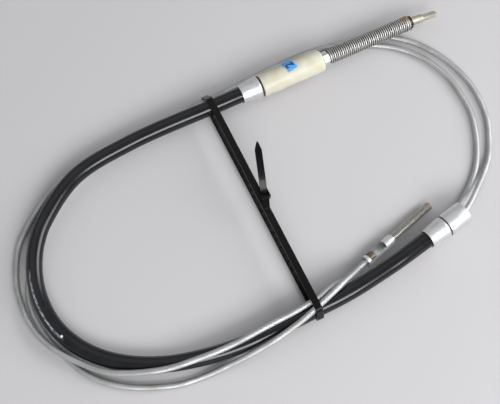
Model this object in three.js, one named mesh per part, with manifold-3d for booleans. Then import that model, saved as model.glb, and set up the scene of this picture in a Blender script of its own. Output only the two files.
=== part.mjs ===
// Clutch cable, tied up as a hank: a bare wire rope that runs through a black conduit,
// with a sleeve and spring at one end of the conduit, a cap at the other,
// and a coupling with a threaded rod on the rope's free end.
// Millimetres, +Z up. The hank lies flat, and the origin is under the middle of its box.

import * as THREE from 'three';
import { mergeVertices } from 'three/addons/utils/BufferGeometryUtils.js';
import Module from 'manifold-3d';

const wasm = await Module();
wasm.setup();

// Driving dimensions
const GAP = 0.35;
const ROPE_DIAMETER = 4.1;
const CONDUIT_DIAMETER = 11.2;
const CONDUIT_BORE = 9.4;
const ARMOUR_DIAMETER = 8.4;
const ARMOUR_BORE = 7.2;
const LINER_DIAMETER = 6.5;
const LINER_BORE = 5.6;
const FERRULE_LENGTH = 14.6;
const FERRULE_NECK_DIAMETER = 13.8;
const FERRULE_MOUTH_DIAMETER = 16.2;
const FERRULE_SOCKET = 12.2;
const ROPE_HOLE = 5.2;
const SLEEVE_LENGTH = 49.2;
const SLEEVE_DIAMETER = 16.6;
const SLEEVE_BORE = 9;
const SLEEVE_ROUND = 3;
const SEAL_THICKNESS = 1;
const SEAL_DIAMETER = 15.4;
const SEAT_ACROSS_FLATS = 9.4;
const SEAT_THICKNESS = 4.2;
const SEAT_BOSS_DIAMETER = 7.4;
const SEAT_BOSS_LENGTH = 3;
const SPRING_DIAMETER = 11.2;
const SPRING_WIRE = 1.05;
const SPRING_LENGTH = 67.2;
const SPRING_PITCH = 1.575;
const KEEPER_THICKNESS = 0.9;
const KEEPER_DIAMETER = 9.2;
const ROD_DIAMETER = 6.2;
const ROD_INSIDE = 7.4;
const ROD_STANDOFF = 3.58;
const ROD_NECK = 6.6;
const TANG_LENGTH = 11.6;
const TANG_WIDTH = 5.6;
const TANG_THICKNESS = 3;
const CAP_DIAMETER = 16.6;
const CAP_LENGTH = 16.6;
const CAP_MOUTH = 8.6;
const COUPLING_DIAMETER = 7.8;
const COUPLING_LENGTH = 25;
const COUPLING_BORE = 6.6;
const COUPLING_FLANGE_DIAMETER = 8.4;
const COUPLING_FLANGE_THICKNESS = 1.2;
const COUPLING_HOLE = 5.6;
const WINDOW_START = 2.4;
const WINDOW_LENGTH = 15;
const WINDOW_WIDTH = 6.4;
const NIPPLE_DIAMETER = 5.4;
const NIPPLE_LENGTH = 5.6;
const STUD_DIAMETER = 6;
const STUD_START = 18;
const STUD_END = 62.6;
const STUD_CHAMFER = 0.8;
const TIE_WIDTH = 4.8;
const TIE_THICKNESS = 1.2;
const TIE_HEAD_LENGTH = 7;
const TIE_HEAD_WIDTH = 7.4;
const TIE_HEAD_HEIGHT = 5.4;
const LABEL_LENGTH = 7.4;
const LABEL_ARC = 10.5;
const LABEL_THICKNESS = 0.25;
const ROUND_SEGMENTS = 28;

// Where the three ends of the cable lie: a point on each axis and the way that it runs outward
const SPRING_END = { at: new THREE.Vector3(0.78, 75.05, 13.31), way: new THREE.Vector3(0.8998, 0.4361, -0.0159) };
const CAP_END = { at: new THREE.Vector3(114.32, -39.26, 12.59), way: new THREE.Vector3(0.8037, 0.595, 0.0129) };
const STUD_END_FITTING = { at: new THREE.Vector3(72.7, -53.5, 7.4), way: new THREE.Vector3(0.7359, 0.6738, -0.0687) };
const ROD_WAY = new THREE.Vector3(0.93, 0.361, -0.07);

// The conduit's middle line, from inside the sleeve end's ferrule to inside the cap end's
const CONDUIT_ROUTE = [
  [-2.8, 73.3, 13.4], [-12.9, 68.4, 13.6], [-25.5, 62.3, 13.8], [-90.4, 32.7, 10.35], [-127.6, 6.9, 10.25],
  [-146.5, -25.3, 10.2], [-150.6, -40.4, 10.1], [-151.3, -55.9, 10], [-148.7, -71.8, 9.7], [-142.8, -86.4, 8.9],
  [-134.2, -98.9, 7.7], [-121.8, -109.6, 6.5], [-106.4, -117.5, 5.8], [-89.8, -121.9, 5.6], [-71.4, -123.3, 5.6],
  [-50.9, -121.5, 5.6], [-14.3, -111.6, 5.9], [39.3, -86.2, 8.3], [60.8, -75.3, 10], [87.6, -58.3, 11.2],
  [100.3, -49.6, 12.4], [111.6, -41.3, 12.5], [121.2, -34.2, 12.7],
];

// The bare rope's middle line: out of the cap's mouth, twice round the hank, into the coupling
const ROPE_ROUTE = [
  [131.1, -26.8, 12.9], [136.5, -22.9, 12.9], [140.6, -19.4, 12.9], [144, -15.2, 12.3], [155.2, 5.4, 5.5],
  [162.6, 22.8, 2.5], [164.5, 33.9, 2.1], [164.3, 56.9, 2.1], [155.5, 81.3, 2.1], [142.4, 98.3, 2.1],
  [127.7, 110.2, 2.1], [111.9, 118.2, 2.1], [90.6, 122.4, 2.1], [77.2, 120.9, 2.1], [47.3, 112.1, 2.1],
  [30.9, 105.9, 2.1], [-2.2, 89, 2.2], [-19, 78.8, 3.1], [-34.8, 69.6, 4.05], [-52, 60.3, 2.9],
  [-91.5, 39, 2.1], [-112.3, 26, 2.1], [-138, 7.4, 2.1], [-149.1, -7.1, 2.1], [-163.1, -36.4, 2.1],
  [-165.1, -50.7, 2.1], [-163, -71.3, 2.6], [-159.2, -82.2, 3.4], [-153.5, -93.8, 4.6], [-146, -103.9, 5.9],
  [-137.5, -111.5, 6.7], [-129.2, -116.7, 7], [-119.7, -121.2, 7.1], [-109, -125.6, 7.5], [-98.3, -128.6, 8.5],
  [-83.7, -129.6, 10.7], [-70.5, -129, 12.5], [-57.6, -127.1, 13.7], [-44.7, -123, 14.2], [-25.2, -115.5, 14.4],
  [-12.1, -109.3, 14.5], [7.2, -98.8, 14.6], [21.7, -91.1, 14.7], [31, -85.8, 14.7], [39.1, -80.5, 14.7],
  [45.3, -75.2, 14], [51, -70, 9.9], [57.6, -66.1, 4.9], [61.9, -64.4, 2.8], [67.4, -62.1, 2.2],
  [79.9, -56.1, 2.1], [96.8, -45.4, 2.1], [114, -33.1, 2.1], [128.6, -21.1, 2.1], [138.7, -11.7, 2.1],
  [147.1, 1.1, 2.1], [151, 9.4, 2.1], [154.1, 19.3, 2.1], [155.9, 36, 2.1], [154.8, 53, 2.1],
  [151.9, 64.1, 2.1], [144, 80.3, 2.1], [138.5, 88.7, 2.1], [130.8, 96.8, 2.1], [121.4, 104.2, 2.1],
  [104.9, 111.7, 2.1], [85.8, 114.6, 2.1], [72.4, 112.8, 2.1], [44.1, 101.7, 2.1], [26.3, 92.9, 2.1],
  [7.2, 83.2, 2.2], [-13.1, 72.8, 3.1], [-30.4, 63.7, 4.05], [-47.6, 55.5, 2.9], [-67.5, 46.3, 2.1],
  [-88.5, 34.9, 2.1], [-107.9, 23.1, 2.1], [-124.1, 10.2, 2.1], [-137.1, -6.7, 2.1], [-146.4, -24, 2.1],
  [-151.6, -40, 2.1], [-154.5, -55, 2.1], [-155.8, -67.7, 2.1], [-154.6, -78.8, 2.1], [-149.9, -90.8, 2.1],
  [-140.1, -105.4, 2.1], [-130.2, -115.3, 2.1], [-118.7, -125.3, 2.1], [-109.5, -130.7, 2.1], [-100.1, -134.2, 2.1],
  [-83.4, -137.3, 2.1], [-65.9, -137.3, 2.1], [-50.4, -135.3, 2.1], [-35.4, -130.3, 2.4], [-22.3, -124.7, 4.3],
  [-10.5, -119.5, 7.3], [0.6, -114, 10.7], [11.7, -108, 13.9], [22.8, -100.4, 16], [32.1, -93.1, 17.1],
  [40.1, -85.8, 17.2], [47.2, -79.2, 17.4], [53.7, -73, 17.3], [60.3, -66.1, 12.6], [65.9, -60.2, 9.3],
  [68.7, -57.2, 8], [72.3, -53.9, 7.4], [74.1, -52.2, 7.25],
];

// The tie's plane stands upright through two points
const TIE_FROM = new THREE.Vector2(-29.8, 52.6);
const TIE_TO = new THREE.Vector2(35.8, -82.4);
const TIE_CLEARANCE = 0.5;
const TIE_HEAD_AT = { along: 71, across: 2.6, up: 20.6 };
const TIE_TAIL_WAY = new THREE.Vector2(-0.15, 0.989);
const TIE_TAIL_REACH = 31.7;
const TIE_TAIL_RISE = 18.6;
const TIE_TAIL_BEND = { along: 1, up: 7 };
const TIE_TIP_LENGTH = 6;

// Colours and finishes
const finish = (color, roughness, metalness) => new THREE.MeshStandardMaterial({ color, roughness, metalness });
const BLACK_VINYL = finish(0x1c1d20, 0.35, 0);
const BLACK_NYLON = finish(0x121214, 0.3, 0);
const BLACK_RUBBER = finish(0x161412, 0.7, 0);
const IVORY_NYLON = finish(0xe4e2cc, 0.45, 0);
const CLEAR_LINER = finish(0xd8d8d0, 0.4, 0);
const WOUND_STEEL = finish(0x7b7c7e, 0.45, 1);
const ALUMINIUM = finish(0xd9dbdc, 0.3, 1);
const BRIGHT_ZINC = finish(0xdfe2e2, 0.25, 1);
const DULL_ZINC = finish(0xb9b49c, 0.45, 1);
const BROWN_STEEL = finish(0x8a7a66, 0.55, 1);
const SPRING_STEEL = finish(0xc2c0b6, 0.3, 1);
const GALVANISED_ROPE = finish(0xb4b9b8, 0.35, 1);
const BLUE_PAPER = finish(0x348ff0, 0.6, 0);

// Booleans
const solidOf = (geometry, matrix = new THREE.Matrix4()) => {
  const bare = geometry.clone().applyMatrix4(matrix);
  bare.deleteAttribute('normal');
  bare.deleteAttribute('uv');
  const merged = mergeVertices(bare, 1e-4);
  const mesh = new wasm.Mesh({
    numProp: 3,
    vertProperties: new Float32Array(merged.attributes.position.array),
    triVerts: new Uint32Array(merged.index.array),
  });
  return new wasm.Manifold(mesh);
};

const geometryOf = (solid) => {
  const mesh = solid.getMesh();
  const geometry = new THREE.BufferGeometry();
  geometry.setAttribute('position', new THREE.BufferAttribute(mesh.vertProperties, 3));
  geometry.setIndex(new THREE.BufferAttribute(mesh.triVerts, 1));
  geometry.computeVertexNormals();
  return geometry;
};

// Shared shapes
const named = (name, geometry, material) => {
  const mesh = new THREE.Mesh(geometry, material);
  mesh.name = name;
  return mesh;
};

const turned = (profile, segments = ROUND_SEGMENTS) => {
  const points = profile.map(([radius, height]) => new THREE.Vector2(radius, height));
  return new THREE.LatheGeometry(points, segments);
};

const ring = (from, to, outer, bore, segments = ROUND_SEGMENTS) =>
  turned([[bore / 2, from], [outer / 2, from], [outer / 2, to], [bore / 2, to], [bore / 2, from]], segments);

const rod = (from, to, diameter, segments = ROUND_SEGMENTS) =>
  turned([[0, from], [diameter / 2, from], [diameter / 2, to], [0, to]], segments);

const polygon = (ShapeClass, diameter, sides) => {
  const outline = new ShapeClass();
  for (let i = 0; i < sides; i += 1) {
    const angle = (i * 2 * Math.PI) / sides;
    const x = (diameter / 2) * Math.cos(angle);
    const y = (diameter / 2) * Math.sin(angle);
    if (i === 0) outline.moveTo(x, y);
    else outline.lineTo(x, y);
  }
  outline.closePath();
  return outline;
};

const tube = (curve, steps, diameter, sides, bore = 0) => {
  const section = polygon(THREE.Shape, diameter, sides);
  if (bore > 0) section.holes.push(polygon(THREE.Path, bore, sides));
  return new THREE.ExtrudeGeometry(section, { steps, extrudePath: curve });
};

const smooth = (points) => {
  const vectors = points.map((point) => (Array.isArray(point) ? new THREE.Vector3(...point) : point));
  const curve = new THREE.CatmullRomCurve3(vectors, false, 'centripetal');
  curve.arcLengthDivisions = 1200;
  return curve;
};

const onAxis = (end, distance) => end.at.clone().addScaledVector(end.way, distance);

// A group whose own Y axis runs along an end of the cable
const endGroup = (at, way) => {
  const group = new THREE.Group();
  group.position.copy(at);
  group.quaternion.setFromUnitVectors(new THREE.Vector3(0, 1, 0), way.clone().normalize());
  return group;
};

// Both ferrules: a socket for the conduit, flaring to a mouth with a hole for the rope
const ferrule = () => {
  const neck = FERRULE_NECK_DIAMETER / 2;
  const mouth = FERRULE_MOUTH_DIAMETER / 2;
  const socket = FERRULE_SOCKET / 2;
  const hole = ROPE_HOLE / 2;
  const floor = FERRULE_LENGTH - 3.2;
  return turned([
    [socket, 0], [neck - 0.3, 0], [neck, 0.5], [mouth - 0.3, FERRULE_LENGTH - 0.6], [mouth - 0.6, FERRULE_LENGTH],
    [hole, FERRULE_LENGTH], [hole, floor], [socket, floor], [socket, 0],
  ]);
};

// Sleeve: a tube with a rounded far end
const sleeve = (from) => {
  const outer = SLEEVE_DIAMETER / 2;
  const bore = SLEEVE_BORE / 2;
  const to = from + SLEEVE_LENGTH;
  const profile = [[bore, from], [outer - 0.5, from], [outer, from + 0.5]];
  for (let i = 0; i <= 4; i += 1) {
    const angle = (i * Math.PI) / 8;
    const radius = outer - SLEEVE_ROUND * (1 - Math.cos(angle));
    profile.push([radius, to - SLEEVE_ROUND * (1 - Math.sin(angle))]);
  }
  profile.push([bore, to], [bore, from]);
  return turned(profile);
};

// Spring seat: a hexagon against the sleeve with a round boss inside the spring
const springSeat = (from) => {
  const across = SEAT_ACROSS_FLATS / Math.cos(Math.PI / 6);
  const hexagon = rod(from, from + SEAT_THICKNESS, across, 6);
  const boss = rod(from + SEAT_THICKNESS - 0.5, from + SEAT_THICKNESS + SEAT_BOSS_LENGTH, SEAT_BOSS_DIAMETER);
  const hole = rod(from - 1, from + SEAT_THICKNESS + SEAT_BOSS_LENGTH + 1, ROPE_HOLE);
  return geometryOf(solidOf(hexagon).add(solidOf(boss)).subtract(solidOf(hole)));
};

// Spring: an open coil of even pitch
class Coil extends THREE.Curve {
  constructor(from, length, turns) {
    super();
    Object.assign(this, { from, length, turns });
    this.arcLengthDivisions = 4000;
  }

  getPoint(t, target = new THREE.Vector3()) {
    const radius = (SPRING_DIAMETER - SPRING_WIRE) / 2;
    const angle = t * this.turns * 2 * Math.PI;
    return target.set(radius * Math.cos(angle), this.from + this.length * t, radius * Math.sin(angle));
  }
}

const spring = (from) => {
  const length = SPRING_LENGTH - SPRING_WIRE;
  const turns = Math.round(length / SPRING_PITCH);
  return tube(new Coil(from + SPRING_WIRE / 2, length, turns), turns * 9, SPRING_WIRE, 5);
};

// End rod: a round crimped barrel that becomes a flat tang
const endRod = () => {
  const barrel = rod(-ROD_INSIDE, ROD_NECK, ROD_DIAMETER);
  const tang = new THREE.BoxGeometry(TANG_WIDTH, TANG_LENGTH + 1, TANG_THICKNESS);
  const place = new THREE.Matrix4().makeRotationY(-0.6);
  place.setPosition(0, ROD_NECK + (TANG_LENGTH - 1) / 2, 0);
  return geometryOf(solidOf(barrel).add(solidOf(tang, place)));
};

// Coupling: a sleeve with a flange, and a wide window along its upper side
const coupling = () => {
  const outer = COUPLING_DIAMETER / 2;
  const flange = COUPLING_FLANGE_DIAMETER / 2;
  const bore = COUPLING_BORE / 2;
  const hole = COUPLING_HOLE / 2;
  const wall = COUPLING_FLANGE_THICKNESS;
  const body = turned([
    [hole, 0], [flange, 0], [flange, wall], [outer, wall], [outer, COUPLING_LENGTH - 0.5],
    [outer - 0.4, COUPLING_LENGTH], [bore, COUPLING_LENGTH], [bore, wall], [hole, wall], [hole, 0],
  ]);
  const window = new THREE.BoxGeometry(WINDOW_WIDTH, WINDOW_LENGTH, outer + 1);
  const place = new THREE.Matrix4().makeRotationY(WINDOW_TURN);
  const middle = new THREE.Vector3(0, 0, (outer + 1) / 2).applyMatrix4(place);
  place.setPosition(middle.x, WINDOW_START + WINDOW_LENGTH / 2, middle.z);
  return geometryOf(solidOf(body).subtract(solidOf(window, place)));
};
const WINDOW_TURN = -0.28;

const stud = () =>
  turned([
    [0, STUD_START], [STUD_DIAMETER / 2, STUD_START], [STUD_DIAMETER / 2, STUD_END - STUD_CHAMFER],
    [STUD_DIAMETER / 2 - STUD_CHAMFER, STUD_END], [0, STUD_END],
  ]);

const cap = (from) => {
  const outer = CAP_DIAMETER / 2;
  const mouth = CAP_MOUTH / 2;
  const to = from + CAP_LENGTH;
  return turned([
    [mouth, from], [outer - 0.3, from], [outer, from + 0.3], [outer, to - 0.6], [outer - 0.6, to],
    [mouth, to], [mouth, from],
  ]);
};

// The conduit and the bare rope as the chains of straight steps that they are made of
const CONDUIT_STEPS = 48;
const ROPE_STEPS = 84;
const conduitCurve = smooth(CONDUIT_ROUTE);
const ropeCurve = smooth(ROPE_ROUTE);

// An upright plane's own frame: X along it, Y up, Z across it
const uprightFrame = (from, way) => {
  const along = new THREE.Vector3(way.x, way.y, 0).normalize();
  const up = new THREE.Vector3(0, 0, 1);
  const across = new THREE.Vector3().crossVectors(along, up);
  return new THREE.Matrix4().makeBasis(along, up, across).setPosition(from);
};
const tieFrame = uprightFrame(new THREE.Vector3(TIE_FROM.x, TIE_FROM.y, 0), TIE_TO.clone().sub(TIE_FROM));

// Tie: a band round the bundle, a head with a slot, and a tail that leans away from it.
// The band goes round every point of the chains that lies within its width.
const withinTie = (curve, steps, diameter) => {
  const toTie = tieFrame.clone().invert();
  const chain = curve.getSpacedPoints(steps).map((point) => point.applyMatrix4(toTie));
  const circles = [];
  for (let i = 0; i < steps; i += 1) {
    for (let part = 0; part <= 10; part += 1) {
      const point = chain[i].clone().lerp(chain[i + 1], part / 10);
      if (Math.abs(point.z) < TIE_WIDTH / 2) circles.push({ along: point.x, up: point.y, radius: diameter / 2 });
    }
  }
  return circles;
};

const hullAround = (circles, margin) => {
  const points = [];
  for (const { along, up, radius } of circles) {
    for (let i = 0; i < 20; i += 1) {
      const angle = (i * Math.PI) / 10;
      points.push([along + (radius + margin) * Math.cos(angle), up + (radius + margin) * Math.sin(angle)]);
    }
  }
  points.sort((a, b) => a[0] - b[0] || a[1] - b[1]);
  const turn = (o, a, b) => (a[0] - o[0]) * (b[1] - o[1]) - (a[1] - o[1]) * (b[0] - o[0]);
  const half = (list) => {
    const chain = [];
    for (const point of list) {
      while (chain.length > 1 && turn(chain[chain.length - 2], chain[chain.length - 1], point) <= 0) chain.pop();
      chain.push(point);
    }
    return chain.slice(0, -1);
  };
  return [...half(points), ...half(points.reverse())].map(([x, y]) => new THREE.Vector2(x, y));
};

const band = () => {
  const conduit = withinTie(conduitCurve, CONDUIT_STEPS, CONDUIT_DIAMETER);
  const bundle = [...conduit, ...withinTie(ropeCurve, ROPE_STEPS, ROPE_DIAMETER)];
  const shape = new THREE.Shape(hullAround(bundle, TIE_CLEARANCE + TIE_THICKNESS));
  shape.holes.push(new THREE.Path(hullAround(bundle, TIE_CLEARANCE)));
  const geometry = new THREE.ExtrudeGeometry(shape, { depth: TIE_WIDTH, bevelEnabled: false });
  return geometry.translate(0, 0, -TIE_WIDTH / 2);
};

const tail = () => {
  const line = new THREE.QuadraticBezierCurve(
    new THREE.Vector2(0, 0),
    new THREE.Vector2(TIE_TAIL_BEND.along, TIE_TAIL_BEND.up),
    new THREE.Vector2(TIE_TAIL_REACH, TIE_TAIL_RISE),
  );
  const near = [];
  const far = [];
  for (let i = 0; i <= 8; i += 1) {
    const point = line.getPoint(i / 8);
    const tangent = line.getTangent(i / 8);
    near.push(new THREE.Vector2(point.x + (tangent.y * TIE_THICKNESS) / 2, point.y - (tangent.x * TIE_THICKNESS) / 2));
    far.push(new THREE.Vector2(point.x - (tangent.y * TIE_THICKNESS) / 2, point.y + (tangent.x * TIE_THICKNESS) / 2));
  }
  const shape = new THREE.Shape([...near, ...far.reverse()]);
  const geometry = new THREE.ExtrudeGeometry(shape, { depth: TIE_WIDTH, bevelEnabled: false });
  let solid = solidOf(geometry.translate(0, 0, -TIE_WIDTH / 2));
  for (const side of [-1, 1]) {
    const wedge = new THREE.Shape([
      new THREE.Vector2(TIE_TAIL_REACH - TIE_TIP_LENGTH, side * TIE_WIDTH * 0.51),
      new THREE.Vector2(TIE_TAIL_REACH * 1.1, side * TIE_WIDTH * 0.1),
      new THREE.Vector2(TIE_TAIL_REACH * 1.1, side * TIE_WIDTH),
    ]);
    const block = new THREE.ExtrudeGeometry(wedge, { depth: TIE_TAIL_RISE * 3, bevelEnabled: false });
    const upright = new THREE.Matrix4().makeRotationX(-Math.PI / 2);
    solid = solid.subtract(solidOf(block, upright));
  }
  return solid;
};

const cableTie = () => {
  const head = new THREE.BoxGeometry(TIE_HEAD_LENGTH, TIE_HEAD_HEIGHT, TIE_HEAD_WIDTH);
  const slot = new THREE.BoxGeometry(TIE_HEAD_LENGTH * 0.6, TIE_HEAD_HEIGHT, TIE_WIDTH * 1.15);
  const middle = new THREE.Vector3(TIE_HEAD_AT.along, TIE_HEAD_AT.up, -TIE_HEAD_AT.across);
  head.translate(middle.x, middle.y, middle.z);
  slot.translate(middle.x - TIE_HEAD_LENGTH * 0.1, middle.y + TIE_HEAD_HEIGHT * 0.75, middle.z);
  const looped = solidOf(band(), tieFrame).add(solidOf(head, tieFrame)).subtract(solidOf(slot, tieFrame));
  const tailFrame = uprightFrame(middle.applyMatrix4(tieFrame), TIE_TAIL_WAY);
  return geometryOf(looped.add(tail().transform(tailFrame.toArray())));
};

// Label: a thin patch bent round the sleeve, turned a little on it
const label = (middle) => {
  const inner = SLEEVE_DIAMETER + 2 * GAP;
  const shell = ring(middle - LABEL_ARC, middle + LABEL_ARC, inner + 2 * LABEL_THICKNESS, inner, 48);
  const cutter = new THREE.BoxGeometry(LABEL_ARC, LABEL_LENGTH, SLEEVE_DIAMETER);
  const place = new THREE.Matrix4().makeRotationY(LABEL_TURN);
  place.multiply(new THREE.Matrix4().makeTranslation(0, middle, SLEEVE_DIAMETER / 2));
  place.multiply(new THREE.Matrix4().makeRotationZ(LABEL_SKEW));
  return geometryOf(solidOf(shell).intersect(solidOf(cutter, place)));
};
const LABEL_TURN = -0.37;
const LABEL_SKEW = 0.18;
const LABEL_MIDDLE = 25;

// The sleeve end of the conduit, with its pieces one after another along the axis
const SLEEVE_FROM = SEAL_THICKNESS + GAP;
const SEAT_FROM = SLEEVE_FROM + SLEEVE_LENGTH + GAP;
const SPRING_FROM = SEAT_FROM + SEAT_THICKNESS + 0.42;
const SPRING_TO = SPRING_FROM + SPRING_LENGTH;
const ROD_PIVOT = SPRING_TO + ROD_STANDOFF;

const springEnd = () => {
  const group = endGroup(SPRING_END.at, SPRING_END.way);
  const ferruleA = named('ferrule_sleeve_end', ferrule(), ALUMINIUM);
  ferruleA.position.y = -FERRULE_LENGTH - GAP;
  group.add(ferruleA);
  group.add(named('seal_ring_sleeve_end', ring(0, SEAL_THICKNESS, SEAL_DIAMETER, ROPE_HOLE), BLACK_RUBBER));
  group.add(named('guide_sleeve', sleeve(SLEEVE_FROM), IVORY_NYLON));
  group.add(named('number_label', label(LABEL_MIDDLE), BLUE_PAPER));
  group.add(named('spring_seat', springSeat(SEAT_FROM), BRIGHT_ZINC));
  group.add(named('return_spring', spring(SPRING_FROM), SPRING_STEEL));
  const keeperFrom = SPRING_TO + GAP;
  const keeperBore = ROD_DIAMETER + 2 * GAP + 0.6;
  const keeper = ring(keeperFrom, keeperFrom + KEEPER_THICKNESS, KEEPER_DIAMETER, keeperBore);
  group.add(named('spring_keeper', keeper, BROWN_STEEL));
  return group;
};

// The cap end of the conduit
const capEnd = () => {
  const group = endGroup(CAP_END.at, CAP_END.way);
  const sealFrom = FERRULE_LENGTH + GAP;
  const capFrom = sealFrom + SEAL_THICKNESS / 2 + GAP;
  group.add(named('ferrule_cap_end', ferrule(), ALUMINIUM));
  const seal = ring(sealFrom, sealFrom + SEAL_THICKNESS / 2, SEAL_DIAMETER, CAP_MOUTH);
  group.add(named('seal_ring_cap_end', seal, BLACK_RUBBER));
  group.add(named('end_cap', cap(capFrom), ALUMINIUM));
  return group;
};

// The rope's free end
const studFitting = () => {
  const group = endGroup(STUD_END_FITTING.at, STUD_END_FITTING.way);
  const nippleFrom = 2 + GAP;
  group.add(named('coupling_sleeve', coupling(), BRIGHT_ZINC));
  group.add(named('rope_nipple', rod(nippleFrom, nippleFrom + NIPPLE_LENGTH, NIPPLE_DIAMETER), BROWN_STEEL));
  group.add(named('adjuster_stud', stud(), DULL_ZINC));
  return group;
};

// Conduit layers and the two stretches of rope
const hiddenRope = smooth([
  onAxis(SPRING_END, ROD_PIVOT - ROD_INSIDE - 0.6),
  onAxis(SPRING_END, 80),
  onAxis(SPRING_END, 40),
  onAxis(SPRING_END, 10),
  ...CONDUIT_ROUTE,
  onAxis(CAP_END, 14.6),
  onAxis(CAP_END, 20.4),
]);

const part = new THREE.Group();
part.add(springEnd(), capEnd(), studFitting());
const rodGroup = endGroup(onAxis(SPRING_END, ROD_PIVOT), ROD_WAY);
rodGroup.add(named('end_rod', endRod(), DULL_ZINC));
part.add(rodGroup);
part.add(named('conduit_jacket', tube(conduitCurve, CONDUIT_STEPS, CONDUIT_DIAMETER, 10, CONDUIT_BORE), BLACK_VINYL));
part.add(named('conduit_armour', tube(conduitCurve, CONDUIT_STEPS, ARMOUR_DIAMETER, 10, ARMOUR_BORE), WOUND_STEEL));
part.add(named('conduit_liner', tube(conduitCurve, CONDUIT_STEPS, LINER_DIAMETER, 10, LINER_BORE), CLEAR_LINER));
part.add(named('rope_in_conduit', tube(hiddenRope, 62, ROPE_DIAMETER, 8), GALVANISED_ROPE));
part.add(named('bare_rope', tube(ropeCurve, ROPE_STEPS, ROPE_DIAMETER, 8), GALVANISED_ROPE));
part.add(named('cable_tie', cableTie(), BLACK_NYLON));

export default part;
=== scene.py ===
import math

import bmesh
import bpy
from mathutils import Matrix, Vector


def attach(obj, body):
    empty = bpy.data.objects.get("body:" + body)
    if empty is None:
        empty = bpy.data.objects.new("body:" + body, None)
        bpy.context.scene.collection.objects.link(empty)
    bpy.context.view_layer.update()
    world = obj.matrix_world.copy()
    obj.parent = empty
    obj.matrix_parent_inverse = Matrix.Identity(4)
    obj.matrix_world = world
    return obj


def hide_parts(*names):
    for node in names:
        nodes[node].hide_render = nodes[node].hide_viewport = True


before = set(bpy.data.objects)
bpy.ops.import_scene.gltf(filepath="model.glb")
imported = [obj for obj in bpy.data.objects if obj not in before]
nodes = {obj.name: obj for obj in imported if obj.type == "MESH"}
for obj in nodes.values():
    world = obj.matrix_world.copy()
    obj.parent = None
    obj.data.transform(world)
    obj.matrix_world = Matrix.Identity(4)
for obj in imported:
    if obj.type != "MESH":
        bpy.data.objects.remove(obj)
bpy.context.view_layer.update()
scene = bpy.context.scene
scene.view_settings.view_transform = "Standard"

# Camera
# It looks down on the hank from in front, twenty degrees off the vertical,
# from seventy centimetres away.
AIM = Vector((-0.0059, -0.0077, -0.0003))
CAMERA_TILT = math.radians(20)
CAMERA_DISTANCE = 0.7
camera_data = bpy.data.cameras.new("camera")
camera_data.lens = 72
camera_data.sensor_width = 36
camera = bpy.data.objects.new("camera", camera_data)
scene.collection.objects.link(camera)
camera.location = AIM + CAMERA_DISTANCE * Vector((0, -math.sin(CAMERA_TILT), math.cos(CAMERA_TILT)))
camera.rotation_euler = (CAMERA_TILT, 0, 0)
scene.camera = camera

# Floor and lights
# A plain pale floor. One light in front and one at the right put a bright line on the lower and inner
# sides of the black conduit, and a broad weak one comes from behind on the left.
floor_mesh = bmesh.new()
bmesh.ops.create_grid(floor_mesh, x_segments=1, y_segments=1, size=3.0)
floor_data = bpy.data.meshes.new("floor")
floor_mesh.to_mesh(floor_data)
floor_mesh.free()
floor = bpy.data.objects.new("floor", floor_data)
scene.collection.objects.link(floor)
floor_finish = bpy.data.materials.new("floor")
floor_finish.use_nodes = True
floor_shader = floor_finish.node_tree.nodes["Principled BSDF"]
floor_shader.inputs["Base Color"].default_value = (0.52, 0.51, 0.52, 1)
floor_shader.inputs["Roughness"].default_value = 0.9
floor_data.materials.append(floor_finish)


def area_light(name, place, width, height, power):
    data = bpy.data.lights.new(name, "AREA")
    data.shape = "RECTANGLE"
    data.size = width
    data.size_y = height
    data.energy = power
    light = bpy.data.objects.new(name, data)
    scene.collection.objects.link(light)
    light.location = place
    light.rotation_mode = "QUATERNION"
    light.rotation_quaternion = (-Vector(place)).to_track_quat("-Z", "Y")


area_light("front_light", (0.5, -1.2, 1.05), 1.1, 0.7, 21)
area_light("side_light", (1.35, 0.2, 0.8), 1.2, 1.0, 19)
area_light("back_light", (-0.6, 0.7, 1.5), 1.8, 1.4, 2)
world = bpy.data.worlds.new("world")
world.use_nodes = True
world.node_tree.nodes["Background"].inputs["Color"].default_value = (0.97, 0.98, 1.0, 1)
world.node_tree.nodes["Background"].inputs["Strength"].default_value = 0.38
scene.world = world

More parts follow.
